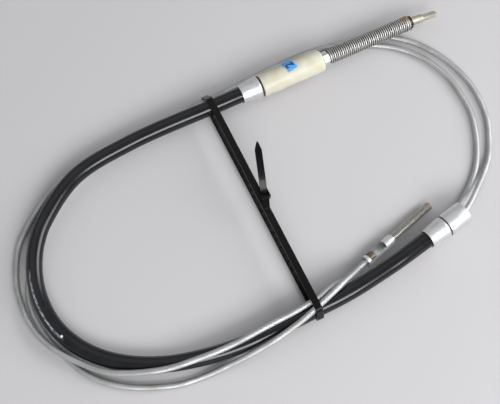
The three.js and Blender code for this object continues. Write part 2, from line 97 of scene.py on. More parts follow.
# Wire rope
# Galvanised wires laid right-handed in shallow outer strands. The bare stretch leaves the cap's mouth,
# runs twice round the hank and ends in the coupling, along the same line as its solid.
ROPE_RADIUS = 0.00205
ROPE_STRANDS = 12
ROPE_GROOVE = 0.00016
ROPE_SIDES = 48
ROPE_LAY = 0.027
ROPE_RINGS = 1300
ROPE_ROUTE = [
    (131.1, -26.8, 12.9), (136.5, -22.9, 12.9), (140.6, -19.4, 12.9), (144, -15.2, 12.3),
    (155.2, 5.4, 5.5), (162.6, 22.8, 2.5), (164.5, 33.9, 2.1), (164.3, 56.9, 2.1), (155.5, 81.3, 2.1),
    (142.4, 98.3, 2.1), (127.7, 110.2, 2.1), (111.9, 118.2, 2.1), (90.6, 122.4, 2.1), (77.2, 120.9, 2.1),
    (47.3, 112.1, 2.1), (30.9, 105.9, 2.1), (-2.2, 89, 2.2), (-19, 78.8, 3.1), (-34.8, 69.6, 4.05),
    (-52, 60.3, 2.9), (-91.5, 39, 2.1), (-112.3, 26, 2.1), (-138, 7.4, 2.1), (-149.1, -7.1, 2.1),
    (-163.1, -36.4, 2.1), (-165.1, -50.7, 2.1), (-163, -71.3, 2.6), (-159.2, -82.2, 3.4),
    (-153.5, -93.8, 4.6), (-146, -103.9, 5.9), (-137.5, -111.5, 6.7), (-129.2, -116.7, 7),
    (-119.7, -121.2, 7.1), (-109, -125.6, 7.5), (-98.3, -128.6, 8.5), (-83.7, -129.6, 10.7),
    (-70.5, -129, 12.5), (-57.6, -127.1, 13.7), (-44.7, -123, 14.2), (-25.2, -115.5, 14.4),
    (-12.1, -109.3, 14.5), (7.2, -98.8, 14.6), (21.7, -91.1, 14.7), (31, -85.8, 14.7),
    (39.1, -80.5, 14.7), (45.3, -75.2, 14), (51, -70, 9.9), (57.6, -66.1, 4.9), (61.9, -64.4, 2.8),
    (67.4, -62.1, 2.2), (79.9, -56.1, 2.1), (96.8, -45.4, 2.1), (114, -33.1, 2.1), (128.6, -21.1, 2.1),
    (138.7, -11.7, 2.1), (147.1, 1.1, 2.1), (151, 9.4, 2.1), (154.1, 19.3, 2.1), (155.9, 36, 2.1),
    (154.8, 53, 2.1), (151.9, 64.1, 2.1), (144, 80.3, 2.1), (138.5, 88.7, 2.1), (130.8, 96.8, 2.1),
    (121.4, 104.2, 2.1), (104.9, 111.7, 2.1), (85.8, 114.6, 2.1), (72.4, 112.8, 2.1), (44.1, 101.7, 2.1),
    (26.3, 92.9, 2.1), (7.2, 83.2, 2.2), (-13.1, 72.8, 3.1), (-30.4, 63.7, 4.05), (-47.6, 55.5, 2.9),
    (-67.5, 46.3, 2.1), (-88.5, 34.9, 2.1), (-107.9, 23.1, 2.1), (-124.1, 10.2, 2.1), (-137.1, -6.7, 2.1),
    (-146.4, -24, 2.1), (-151.6, -40, 2.1), (-154.5, -55, 2.1), (-155.8, -67.7, 2.1),
    (-154.6, -78.8, 2.1), (-149.9, -90.8, 2.1), (-140.1, -105.4, 2.1), (-130.2, -115.3, 2.1),
    (-118.7, -125.3, 2.1), (-109.5, -130.7, 2.1), (-100.1, -134.2, 2.1), (-83.4, -137.3, 2.1),
    (-65.9, -137.3, 2.1), (-50.4, -135.3, 2.1), (-35.4, -130.3, 2.4), (-22.3, -124.7, 4.3),
    (-10.5, -119.5, 7.3), (0.6, -114, 10.7), (11.7, -108, 13.9), (22.8, -100.4, 16), (32.1, -93.1, 17.1),
    (40.1, -85.8, 17.2), (47.2, -79.2, 17.4), (53.7, -73, 17.3), (60.3, -66.1, 12.6), (65.9, -60.2, 9.3),
    (68.7, -57.2, 8), (72.3, -53.9, 7.4), (74.1, -52.2, 7.25),
]


def smooth_line(points, count, fineness=40):
    """Evenly spaced points, in metres, on a centripetal curve through points in millimetres."""
    knots = [Vector(point) / 1000 for point in points]
    knots = [2 * knots[0] - knots[1], *knots, 2 * knots[-1] - knots[-2]]
    fine = []
    for a, b, c, d in zip(knots, knots[1:], knots[2:], knots[3:]):
        before, here, after = ((q - p).length ** 0.5 for p, q in ((a, b), (b, c), (c, d)))
        leaving = ((b - a) / before - (c - a) / (before + here) + (c - b) / here) * here
        arriving = ((c - b) / here - (d - b) / (here + after) + (d - c) / after) * here
        for i in range(fineness):
            t = i / fineness
            fine.append(
                (2 * t**3 - 3 * t**2 + 1) * b
                + (t**3 - 2 * t**2 + t) * leaving
                + (3 * t**2 - 2 * t**3) * c
                + (t**3 - t**2) * arriving
            )
    fine.append(knots[-2])
    return evenly(fine, count)


def evenly(chain, count):
    """The chain's points respaced to count points at equal distances."""
    reached = [0.0]
    for p, q in zip(chain, chain[1:]):
        reached.append(reached[-1] + (q - p).length)
    line = []
    i = 0
    for k in range(count):
        wanted = reached[-1] * k / (count - 1)
        while i < len(chain) - 2 and reached[i + 1] < wanted:
            i += 1
        part = (wanted - reached[i]) / max(reached[i + 1] - reached[i], 1e-12)
        line.append(chain[i].lerp(chain[i + 1], min(max(part, 0), 1)))
    return line


def length_of(line):
    return sum((q - p).length for p, q in zip(line, line[1:]))


def wrapped(name, line, sides, outline, first_side=None, capped=True, sharp=35):
    """A skin round a line. A grid is rolled up, its seam is merged, and its ends are filled.
    outline(k, s) gives the two offsets of corner k, s metres along. The skin keeps its straightened
    place in millimetres as the attribute own, and its UV runs along and round it."""
    last = len(line) - 1
    tangents = [(line[min(i + 1, last)] - line[max(i - 1, 0)]).normalized() for i in range(last + 1)]
    side = (first_side or tangents[0].orthogonal()).normalized()
    sides_at = [side]
    for before, after in zip(tangents, tangents[1:]):
        side = side.copy()
        side.rotate(before.rotation_difference(after))
        sides_at.append(side)
    step = length_of(line) / last
    bm = bmesh.new()
    bm.loops.layers.uv.new("UVMap")
    own = bm.verts.layers.float_vector.new("own")
    bmesh.ops.create_grid(bm, x_segments=last, y_segments=sides, size=0.5, calc_uvs=True)
    for vert in bm.verts:
        i = round((vert.co.x + 0.5) * last)
        k = round((vert.co.y + 0.5) * sides) % sides
        a, b = outline(k, i * step)
        vert[own] = Vector((a, b, i * step)) * 1000
        vert.co = line[i] + sides_at[i] * a + tangents[i].cross(sides_at[i]) * b
    bmesh.ops.remove_doubles(bm, verts=bm.verts, dist=1e-7)
    if capped:
        bmesh.ops.holes_fill(bm, edges=bm.edges, sides=0)
    bmesh.ops.recalc_face_normals(bm, faces=bm.faces)
    return finished(name, bm, sharp)


def finished(name, bm, sharp=35):
    """The mesh as a piece of the object that rides on its one body, shaded smooth up to an angle."""
    mesh = bpy.data.meshes.new(name)
    bm.to_mesh(mesh)
    bm.free()
    mesh.shade_smooth()
    mesh.set_sharp_from_angle(angle=math.radians(sharp))
    piece = bpy.data.objects.new(name, mesh)
    scene.collection.objects.link(piece)
    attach(piece, "root")
    return piece


def dress(piece, material, slot, *replaced):
    piece.data.materials.clear()
    piece.data.materials.append(material)
    if replaced:
        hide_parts(*replaced)


def strand_edge(k, s):
    """A corner of the rope's section: round strands, turned by the lay."""
    phase = 2 * (k * ROPE_STRANDS / ROPE_SIDES % 1) - 1
    radius = ROPE_RADIUS - ROPE_GROOVE * (1 - math.sqrt(max(1 - phase**2, 0)))
    angle = 2 * math.pi * (k / ROPE_SIDES + s / ROPE_LAY)
    return radius * math.cos(angle), radius * math.sin(angle)


class Graph:
    """A node tree under construction, with short ways to add and join nodes."""

    def __init__(self, tree):
        self.tree = tree

    def node(self, kind, values=None, **settings):
        made = self.tree.nodes.new(kind)
        for key, value in settings.items():
            setattr(made, key, value)
        for key, value in (values or {}).items():
            if isinstance(value, bpy.types.NodeSocket):
                self.tree.links.new(value, made.inputs[key])
            else:
                made.inputs[key].default_value = value
        return made

    def put(self, effect, **values):
        """One of the shared effects, with its outputs."""
        return self.node("ShaderNodeGroup", values, node_tree=effect).outputs

    def stretched(self, source, scale):
        return self.node("ShaderNodeMapping", {"Vector": source, "Scale": scale}).outputs["Vector"]

    def noise(self, source, scale, detail=3.0, roughness=0.55):
        values = {"Vector": source, "Scale": scale, "Detail": detail, "Roughness": roughness}
        return self.node("ShaderNodeTexNoise", values).outputs["Fac"]

    def span(self, value, low, high, to_low=0.0, to_high=1.0):
        values = {"Value": value, "From Min": low, "From Max": high, "To Min": to_low, "To Max": to_high}
        return self.node("ShaderNodeMapRange", values).outputs["Result"]

    def math(self, operation, first, second=0.0):
        return self.node("ShaderNodeMath", {0: first, 1: second}, operation=operation).outputs["Value"]

    def blend(self, amount, first, second):
        """Two colours mixed. The Mix node's colour sockets are 6 and 7, and its colour output is 2."""
        values = {0: amount}
        for socket, value in ((6, first), (7, second)):
            values[socket] = value if isinstance(value, bpy.types.NodeSocket) else (*value, 1)
        return self.node("ShaderNodeMix", values, data_type="RGBA").outputs[2]


def shared_effect(name, inputs, outputs):
    """An empty node group with float, vector or colour sockets, and the graph that fills it."""
    tree = bpy.data.node_groups.new(name, "ShaderNodeTree")
    for labels, way in ((inputs, "INPUT"), (outputs, "OUTPUT")):
        for label, kind in labels.items():
            tree.interface.new_socket(label, in_out=way, socket_type=f"NodeSocket{kind}")
    graph = Graph(tree)
    return graph, graph.node("NodeGroupInput").outputs, graph.node("NodeGroupOutput").inputs


class Finish(Graph):
    """A material under construction round its shader."""

    def __init__(self, name, color, roughness, metallic=0.0):
        self.material = bpy.data.materials.new(name)
        self.material.use_nodes = True
        super().__init__(self.material.node_tree)
        self.shader = self.tree.nodes["Principled BSDF"]
        self.shader.inputs["Base Color"].default_value = (*color, 1)
        self.shader.inputs["Roughness"].default_value = roughness
        self.shader.inputs["Metallic"].default_value = metallic
        self.own = self.node("ShaderNodeAttribute", attribute_name="own").outputs["Vector"]

    def feed(self, socket, value):
        self.tree.links.new(value, self.shader.inputs[socket])

    def bump(self, height, strength, distance):
        made = self.node("ShaderNodeBump", {"Height": height, "Strength": strength, "Distance": distance})
        self.feed("Normal", made.outputs["Normal"])


def patches_effect():
    """A mask of soft or hard patches: noise between two levels."""
    graph, given, result = shared_effect(
        "patches",
        {"Place": "Vector", "Scale": "Float", "Detail": "Float", "Low": "Float", "High": "Float"},
        {"Mask": "Float"},
    )
    noise = graph.noise(given["Place"], given["Scale"], given["Detail"])
    graph.tree.links.new(graph.span(noise, given["Low"], given["High"]), result["Mask"])
    return graph.tree


def sunken_effect():
    """A mask that grows from an outer to an inner distance from the piece's own long axis."""
    graph, given, result = shared_effect(
        "sunken", {"Place": "Vector", "Outer": "Float", "Inner": "Float"}, {"Mask": "Float"}
    )
    flat = graph.node("ShaderNodeVectorMath", {0: given["Place"], 1: (1, 1, 0)}, operation="MULTIPLY")
    away = graph.node("ShaderNodeVectorMath", {0: flat.outputs["Vector"]}, operation="LENGTH")
    graph.tree.links.new(graph.span(away.outputs["Value"], given["Outer"], given["Inner"]), result["Mask"])
    return graph.tree


patches = patches_effect()
sunken = sunken_effect()


def rope_finish():
    """Zinc gone dull in stretches, with painted shade between the strands, and finely hatched by the single
    wires.
    """
    finish = Finish("galvanised_rope", (0.6, 0.61, 0.6), 0.4, 0.85)
    dull = finish.put(patches, Place=finish.own, Scale=0.05, Detail=2.0, Low=0.38, High=0.66)["Mask"]
    steel = finish.blend(dull, (0.76, 0.77, 0.79), (0.56, 0.57, 0.55))
    grime = finish.put(patches, Place=finish.own, Scale=0.8, Detail=4.0, Low=0.5, High=0.78)["Mask"]
    steel = finish.blend(finish.math("MULTIPLY", grime, 0.3), steel, (0.3, 0.3, 0.26))
    # Painted shade: darker in the grooves between the strands.
    painted_groove_shade = finish.put(sunken, Place=finish.own, Outer=2.02, Inner=1.93)["Mask"]
    finish.feed("Base Color", finish.blend(finish.math("MULTIPLY", painted_groove_shade, 0.6), steel, (0.14, 0.145, 0.14)))
    finish.feed("Roughness", finish.span(dull, 0.0, 1.0, 0.36, 0.5))
    uv = finish.node("ShaderNodeUVMap", uv_map="UVMap").outputs["UV"]
    wires = finish.node(
        "ShaderNodeTexWave",
        {"Vector": finish.stretched(uv, (2400.0, -60.0, 1.0)), "Scale": 0.5},
        wave_type="BANDS",
        bands_direction="DIAGONAL",
        wave_profile="SIN",
    ).outputs["Fac"]
    finish.bump(wires, 0.3, 0.0001)
    return finish.material


rope_line = smooth_line(ROPE_ROUTE, ROPE_RINGS)
rope = wrapped("wire_rope", rope_line, ROPE_SIDES, strand_edge, sharp=80)
dress(rope, rope_finish(), "galvanised_rope", "bare_rope")

# Conduit
# A black vinyl jacket over wound steel and a slippery liner. The winding below it ribs the jacket faintly,
# and the left bend has a thin pale painted highlight along its outer side and a small chip.
CONDUIT_RADIUS = 0.0056
CONDUIT_WALL = 0.0009
CONDUIT_SIDES = 40
CONDUIT_RINGS = 360
CONDUIT_RIB = 1.9
CONDUIT_ROUTE = [
    (-2.8, 73.3, 13.4), (-12.9, 68.4, 13.6), (-25.5, 62.3, 13.8), (-90.4, 32.7, 10.35),
    (-127.6, 6.9, 10.25), (-146.5, -25.3, 10.2), (-150.6, -40.4, 10.1), (-151.3, -55.9, 10),
    (-148.7, -71.8, 9.7), (-142.8, -86.4, 8.9), (-134.2, -98.9, 7.7), (-121.8, -109.6, 6.5),
    (-106.4, -117.5, 5.8), (-89.8, -121.9, 5.6), (-71.4, -123.3, 5.6), (-50.9, -121.5, 5.6),
    (-14.3, -111.6, 5.9), (39.3, -86.2, 8.3), (60.8, -75.3, 10), (87.6, -58.3, 11.2),
    (100.3, -49.6, 12.4), (111.6, -41.3, 12.5), (121.2, -34.2, 12.7),
]

# The painted highlight's places are shares of the jacket's length and of its girth.
PAINTED_HIGHLIGHT_MIDDLE = 0.446
PAINTED_HIGHLIGHT_REACH = 0.05
PAINTED_HIGHLIGHT_SIDE = 0.44
PAINTED_HIGHLIGHT_FAINT = 0.03
PAINTED_HIGHLIGHT_FULL = 0.014
CHIP_AT = (-0.1292, -0.106, 0.0125)
CHIP_REACH = 0.0011


def conduit_edge(k, s):
    angle = 2 * math.pi * k / CONDUIT_SIDES
    return CONDUIT_RADIUS * math.cos(angle), CONDUIT_RADIUS * math.sin(angle)


def near_effect():
    """A mask that is full at a place and fades to nothing at a reach from it, both in metres."""
    graph, given, result = shared_effect("near", {"Place": "Vector", "Reach": "Float"}, {"Mask": "Float"})
    here = graph.node("ShaderNodeTexCoord").outputs["Object"]
    away = graph.node("ShaderNodeVectorMath", {0: here, 1: given["Place"]}, operation="DISTANCE")
    full = graph.math("MULTIPLY", given["Reach"], 0.6)
    graph.tree.links.new(graph.span(away.outputs["Value"], given["Reach"], full), result["Mask"])
    return graph.tree


near = near_effect()


def vinyl_finish():
    """Black with a bluish bloom in stretches, faint ribs, scuffs, a small chip and a thin painted highlight
    on the left bend.
    """
    finish = Finish("black_vinyl", (0.005, 0.005, 0.006), 0.26)
    finish.shader.inputs["Specular IOR Level"].default_value = 0.5
    bloom = finish.put(patches, Place=finish.own, Scale=0.06, Detail=3.0, Low=0.35, High=0.7)["Mask"]
    color = finish.blend(bloom, (0.003, 0.003, 0.004), (0.007, 0.008, 0.011))
    long_place = finish.stretched(finish.own, (1.6, 1.6, 0.35))
    scuffed = finish.put(patches, Place=long_place, Scale=0.9, Detail=5.0, Low=0.62, High=0.8)["Mask"]
    color = finish.blend(finish.math("MULTIPLY", scuffed, 0.12), color, (0.1, 0.1, 0.11))
    broken = finish.put(patches, Place=long_place, Scale=1.3, Detail=4.0, Low=0.4, High=0.56)["Mask"]
    uv = finish.node("ShaderNodeUVMap", uv_map="UVMap").outputs["UV"]
    share = finish.node("ShaderNodeSeparateXYZ", {"Vector": uv}).outputs
    # A thin painted highlight along the outer side of the left bend, broken up by noise.
    ends = finish.math("ABSOLUTE", finish.math("SUBTRACT", share["X"], PAINTED_HIGHLIGHT_MIDDLE))
    sides = finish.math("ABSOLUTE", finish.math("SUBTRACT", share["Y"], PAINTED_HIGHLIGHT_SIDE))
    within_ends = finish.span(ends, PAINTED_HIGHLIGHT_REACH, PAINTED_HIGHLIGHT_REACH * 0.7)
    painted_highlight = finish.math("MULTIPLY", within_ends, finish.span(sides, PAINTED_HIGHLIGHT_FAINT, PAINTED_HIGHLIGHT_FULL))
    color = finish.blend(finish.math("MULTIPLY", painted_highlight, broken), color, (0.4, 0.4, 0.45))
    chip = finish.put(near, Place=CHIP_AT, Reach=CHIP_REACH)["Mask"]
    finish.feed("Base Color", finish.blend(chip, color, (0.8, 0.8, 0.78)))
    finish.feed("Roughness", finish.span(bloom, 0.0, 1.0, 0.17, 0.22))
    along = finish.node("ShaderNodeSeparateXYZ", {"Vector": finish.own}).outputs["Z"]
    ribs = finish.math("SINE", finish.math("MULTIPLY", along, 2 * math.pi / CONDUIT_RIB))
    grain = finish.noise(finish.own, 2.2)
    finish.bump(finish.math("ADD", ribs, finish.math("MULTIPLY", grain, 0.6)), 0.035, 0.00012)
    return finish.material


conduit_line = smooth_line(CONDUIT_ROUTE, CONDUIT_RINGS)
conduit = wrapped("conduit", conduit_line, CONDUIT_SIDES, conduit_edge, capped=False)
wall = conduit.modifiers.new("wall", "SOLIDIFY")
wall.thickness = CONDUIT_WALL
wall.offset = -1
dress(conduit, vinyl_finish(), "black_vinyl", "conduit_jacket")

steel_winding = Finish("wound_steel", (0.3, 0.3, 0.3), 0.45, 1.0)
# The rope inside the conduit and spring is near-black: grease, and painted shade that darkens the gaps
# between the spring's turns.
greased_shaded_rope = Finish("greased_shaded_rope", (0.035, 0.033, 0.03), 0.6, 0.5)
liner_plastic = Finish("clear_liner", (0.7, 0.7, 0.66), 0.4)
for node, material in (
    ("conduit_armour", steel_winding.material),
    ("conduit_liner", liner_plastic.material),
    ("rope_in_conduit", greased_shaded_rope.material),
):
    nodes[node].data.materials.clear()
    nodes[node].data.materials.append(material)

# Ferrules
# One at each end of the conduit: aluminium, flared toward the mouth and crimped on with two small dents.
# The metal is satin, with fine lengthwise scratches and a few faint handling marks.
# The sleeve's end starts at the mouth of its ferrule and the cap's end at the back of its own.
SPRING_END = (Vector((0.78, 75.05, 13.31)), Vector((0.8998, 0.4361, -0.0159)))
CAP_END = (Vector((114.32, -39.26, 12.59)), Vector((0.8037, 0.595, 0.0129)))


def end_frame(at, way):
    """A frame whose Y runs outward along an end of the cable, in metres."""
    turn = Vector((0, 1, 0)).rotation_difference(way.normalized())
    return Matrix.Translation(at / 1000) @ turn.to_matrix().to_4x4()


def along_end(end, distance):
    return end[0] + end[1].normalized() * distance


spring_frame = end_frame(*SPRING_END)
cap_frame = end_frame(*CAP_END)


def turned_mesh(profile, segments=64, closed=True):
    """A profile of radius and height in millimetres, turned round Y.
    It keeps its place as the attribute own."""
    bm = bmesh.new()
    verts = [bm.verts.new((radius / 1000, height / 1000, 0)) for radius, height in profile]
    chain = verts + verts[:1] if closed else verts
    edges = [bm.edges.new(pair) for pair in zip(chain, chain[1:])]
    bmesh.ops.spin(
        bm,
        geom=verts + edges,
        cent=(0, 0, 0),
        axis=(0, 1, 0),
        angle=2 * math.pi,
        steps=segments,
        use_merge=True,
    )
    bmesh.ops.remove_doubles(bm, verts=bm.verts, dist=1e-7)
    bmesh.ops.recalc_face_normals(bm, faces=bm.faces)
    keep_own(bm)
    return bm


def keep_own(bm):
    own = bm.verts.layers.float_vector.get("own") or bm.verts.layers.float_vector.new("own")
    for vert in bm.verts:
        vert[own] = vert.co * 1000


def placed(name, bm, place, bevel=0.00015):
    """The mesh moved to its place, with its edges broken."""
    bmesh.ops.transform(bm, matrix=place, verts=bm.verts)
    piece = finished(name, bm)
    if bevel:
        edge = piece.modifiers.new("edges", "BEVEL")
        edge.width = bevel
        edge.segments = 2
        edge.limit_method = "ANGLE"
        edge.angle_limit = math.radians(40)
    return piece


def worn_metal_effect():
    """Metal turned or drawn along Y: brighter and duller patches, dark marks and fine scratches."""
    colors = {"Bright": "Color", "Dull": "Color", "Mark": "Color"}
    graph, given, result = shared_effect(
        "worn_metal",
        {"Place": "Vector", **colors, "Marks": "Float", "Roughness": "Float"},
        {"Color": "Color", "Roughness": "Float", "Normal": "Vector"},
    )
    dull = graph.put(patches, Place=given["Place"], Scale=0.35, Detail=3.0, Low=0.36, High=0.68)["Mask"]
    marked = graph.put(patches, Place=given["Place"], Scale=0.9, Detail=5.0, Low=0.6, High=0.76)["Mask"]
    color = graph.blend(dull, given["Bright"], given["Dull"])
    color = graph.blend(graph.math("MULTIPLY", marked, given["Marks"]), color, given["Mark"])
    lines = graph.noise(graph.stretched(given["Place"], (0.5, 0.04, 0.5)), 9.0, 4.0, 0.7)
    rough = graph.math("MULTIPLY", given["Roughness"], graph.span(lines, 0.3, 0.7, 0.85, 1.2))
    bump = graph.node("ShaderNodeBump", {"Height": lines, "Strength": 0.12, "Distance": 0.00006})
    for label, value in (("Color", color), ("Roughness", rough), ("Normal", bump.outputs["Normal"])):
        graph.tree.links.new(value, result[label])
    return graph.tree


worn_metal = worn_metal_effect()


def metal_finish(name, bright, dull, mark, roughness, marks):
    finish = Finish(name, bright, roughness, 1.0)
    colors = {label: (*color, 1) for label, color in (("Bright", bright), ("Dull", dull), ("Mark", mark))}
    worn = finish.put(worn_metal, Place=finish.own, Marks=marks, Roughness=roughness, **colors)
    finish.feed("Base Color", worn["Color"])
    finish.feed("Roughness", worn["Roughness"])
    finish.feed("Normal", worn["Normal"])
    return finish.material


aluminium = metal_finish("aluminium", (0.8, 0.81, 0.81), (0.74, 0.75, 0.75), (0.4, 0.38, 0.34), 0.46, 0.25)
FERRULE = [
    (6.1, 0), (6.65, 0), (6.9, 0.3), (6.9, 1.4), (7.1, 3.2), (7.4, 6.8), (7.85, 11.6), (8.05, 13.2),
    (8.05, 14.3), (7.8, 14.75), (2.6, 14.75), (2.6, 11.4), (6.1, 11.4),
]
FERRULE_BACK = 14.95
FERRULE_SKIN = 0.0064
LONG_EDGE = 0.0015
DENT_RADIUS = 0.0074
DENT_REACH = 0.0021
DENT_DEPTH = 0.0007
SLEEVE_DENTS = [(0.9, 5.2), (2.0, 9.2)]
CAP_DENTS = [(1.1, 5.4), (2.2, 8.8)]


def ferrule_mesh(dents):
    """The turned ferrule, finely divided, with dents pressed in at angles and heights."""
    bm = turned_mesh(FERRULE, 72)
    long_edges = [e for e in bm.edges if abs(e.verts[0].co.y - e.verts[1].co.y) > LONG_EDGE]
    bmesh.ops.subdivide_edges(bm, edges=long_edges, cuts=4, use_grid_fill=True)
    for angle, height in dents:
        outward = Vector((math.cos(angle), 0, math.sin(angle)))
        middle = outward * DENT_RADIUS + Vector((0, height / 1000, 0))
        for vert in bm.verts:
            away = (vert.co - middle).length
            if away < DENT_REACH and vert.co.xz.length > FERRULE_SKIN:
                vert.co -= outward * DENT_DEPTH * (1 - (away / DENT_REACH) ** 2) ** 2
    keep_own(bm)
    return bm


ferrule_frame = spring_frame @ Matrix.Translation((0, -FERRULE_BACK / 1000, 0))
sleeve_ferrule = placed("ferrule_at_sleeve", ferrule_mesh(SLEEVE_DENTS), ferrule_frame)
dress(sleeve_ferrule, aluminium, "aluminium", "ferrule_sleeve_end")
cap_ferrule = placed("ferrule_at_cap", ferrule_mesh(CAP_DENTS), cap_frame)
dress(cap_ferrule, aluminium, "aluminium", "ferrule_cap_end")

# Cap
# A thick turned aluminium ring beyond the ferrule, with a thin dark washer behind it and a mouth
# that the rope leaves at a slant.
black_rubber = Finish("black_rubber", (0.03, 0.025, 0.022), 0.7)
grit = black_rubber.noise(black_rubber.own, 1.2, 4.0)
black_rubber.feed("Base Color", black_rubber.blend(grit, (0.012, 0.01, 0.009), (0.08, 0.06, 0.045)))
CAP = [
    (4.3, 15.65), (8.1, 15.65), (8.3, 15.95), (8.3, 31.5), (8.15, 32.0), (7.7, 32.4), (4.9, 32.4),
    (4.5, 32.2), (4.3, 31.8),
]
CAP_WASHER = [(4.3, 14.95), (7.7, 14.95), (7.7, 15.45), (4.3, 15.45)]
cap_washer = placed("cap_washer", turned_mesh(CAP_WASHER), cap_frame, 0.0001)
dress(cap_washer, black_rubber.material, "black_rubber", "seal_ring_cap_end")
end_cap = placed("cap", turned_mesh(CAP), cap_frame)
dress(end_cap, aluminium, "aluminium", "end_cap")

# Sleeve
# Ivory nylon, a little yellowed, rounded at its far end, over a black ring that seals it to the ferrule.
# It carries faint scuffs and specks of dirt.
SLEEVE_FROM = 1.2
SLEEVE_TO = 50.55
SLEEVE_RADIUS = 8.3
SLEEVE_BORE = 4.5
SLEEVE_ROUND = 3
ROUND_STEPS = 8
SEAL_RING = [(2.6, 0), (7.7, 0), (7.7, 1), (2.6, 1)]
sleeve_profile = [
    (SLEEVE_BORE, SLEEVE_FROM),
    (SLEEVE_RADIUS - 0.5, SLEEVE_FROM),
    (SLEEVE_RADIUS - 0.15, SLEEVE_FROM + 0.15),
    (SLEEVE_RADIUS, SLEEVE_FROM + 0.5),
]
for i in range(ROUND_STEPS + 1):
    turn = i * math.pi / 2 / ROUND_STEPS
    inward = SLEEVE_ROUND * (1 - math.cos(turn))
    back = SLEEVE_ROUND * (1 - math.sin(turn))
    sleeve_profile.append((SLEEVE_RADIUS - inward, SLEEVE_TO - back))
sleeve_profile += [(SLEEVE_BORE + 0.4, SLEEVE_TO), (SLEEVE_BORE, SLEEVE_TO - 0.4)]


def nylon_finish():
    finish = Finish("ivory_nylon", (0.76, 0.74, 0.6), 0.42)
    finish.shader.inputs["Subsurface Weight"].default_value = 0.08
    finish.shader.inputs["Subsurface Scale"].default_value = 0.002
    aged = finish.put(patches, Place=finish.own, Scale=0.12, Detail=3.0, Low=0.34, High=0.68)["Mask"]
    color = finish.blend(aged, (0.66, 0.65, 0.55), (0.59, 0.56, 0.42))
    dirt = finish.put(patches, Place=finish.own, Scale=0.7, Detail=6.0, Low=0.56, High=0.76)["Mask"]
    color = finish.blend(finish.math("MULTIPLY", dirt, 0.2), color, (0.4, 0.37, 0.28))
    specks = finish.put(patches, Place=finish.own, Scale=1.9, Detail=2.0, Low=0.7, High=0.76)["Mask"]
    finish.feed("Base Color", finish.blend(finish.math("MULTIPLY", specks, 0.5), color, (0.24, 0.2, 0.14)))
    finish.feed("Roughness", finish.span(dirt, 0.0, 1.0, 0.4, 0.55))
    finish.bump(finish.noise(finish.own, 2.5, 4.0), 0.1, 0.0001)
    return finish.material


sleeve_ring = placed("sleeve_ring", turned_mesh(SEAL_RING), spring_frame, 0.0002)
dress(sleeve_ring, black_rubber.material, "black_rubber", "seal_ring_sleeve_end")
sleeve = placed("sleeve", turned_mesh(sleeve_profile, 72), spring_frame)
dress(sleeve, nylon_finish(), "ivory_nylon", "guide_sleeve")

# Number label
# A small blue paper label stuck round the sleeve, a little askew. It carries a plain number in dark ink,
# with its foot toward the spring.
LABEL_MIDDLE = 25
LABEL_LENGTH = 7.4
LABEL_WIDTH = 10.5
LABEL_TURN = -0.37
LABEL_SKEW = 0.18
LABEL_RADIUS = 8.66
LABEL_LIFT = 0.22
LABEL_THICKNESS = 0.00018
INK_THICKNESS = 0.00004
DIGIT_LIFT = 0.24
DIGIT_SIZE = 8.51
DIGIT_WEIGHT = 0.184
DIGIT_SHIFT = 0.7


def on_sleeve(x, y, lift):
    """A point of the flat label, in millimetres from its middle, laid on the sleeve."""
    across = x * math.cos(LABEL_SKEW) - y * math.sin(LABEL_SKEW)
    along = x * math.sin(LABEL_SKEW) + y * math.cos(LABEL_SKEW)
    angle = LABEL_TURN + across / LABEL_RADIUS
    radius = LABEL_RADIUS + lift
    local = Vector((radius * math.sin(angle), LABEL_MIDDLE + along, radius * math.cos(angle)))
    return spring_frame @ (local / 1000)


paper_mesh = bmesh.new()
bmesh.ops.create_grid(paper_mesh, x_segments=24, y_segments=12, size=0.5)
paper_own = paper_mesh.verts.layers.float_vector.new("own")
for vert in paper_mesh.verts:
    vert[paper_own] = Vector((vert.co.x * LABEL_WIDTH, vert.co.y * LABEL_LENGTH, 0))
    vert.co = on_sleeve(vert.co.x * LABEL_WIDTH, vert.co.y * LABEL_LENGTH, LABEL_LIFT)
paper = finished("label", paper_mesh)
paper_thickness = paper.modifiers.new("thickness", "SOLIDIFY")
paper_thickness.thickness = LABEL_THICKNESS
paper_thickness.offset = -1
blue_paper = Finish("blue_paper", (0.05, 0.32, 0.88), 0.55)
fibres = blue_paper.noise(blue_paper.own, 1.4, 4.0)
blue_paper.feed("Base Color", blue_paper.blend(fibres, (0.03, 0.26, 0.82), (0.1, 0.42, 0.95)))
dress(paper, blue_paper.material, "blue_paper", "number_label")

digit_curve = bpy.data.curves.new("digit", "FONT")
digit_curve.body = "2"
digit_curve.size = DIGIT_SIZE
digit_curve.align_x = "CENTER"
digit_curve.align_y = "CENTER"
digit_curve.offset = DIGIT_WEIGHT
digit_text = bpy.data.objects.new("digit_text", digit_curve)
scene.collection.objects.link(digit_text)
bpy.context.view_layer.update()
digit_flat = bpy.data.meshes.new_from_object(digit_text.evaluated_get(bpy.context.evaluated_depsgraph_get()))
bpy.data.objects.remove(digit_text)
digit_mesh = bmesh.new()
digit_mesh.from_mesh(digit_flat)
bmesh.ops.triangulate(digit_mesh, faces=digit_mesh.faces)
bmesh.ops.subdivide_edges(digit_mesh, edges=digit_mesh.edges, cuts=2, use_grid_fill=True)
for vert in digit_mesh.verts:
    vert.co = on_sleeve(DIGIT_SHIFT - vert.co.x, -vert.co.y, DIGIT_LIFT)
digit = finished("label_number", digit_mesh)
digit_thickness = digit.modifiers.new("thickness", "SOLIDIFY")
digit_thickness.thickness = INK_THICKNESS
digit_thickness.offset = 1
dark_ink = Finish("dark_ink", (0.02, 0.025, 0.05), 0.5)
dress(digit, dark_ink.material, "blue_paper")

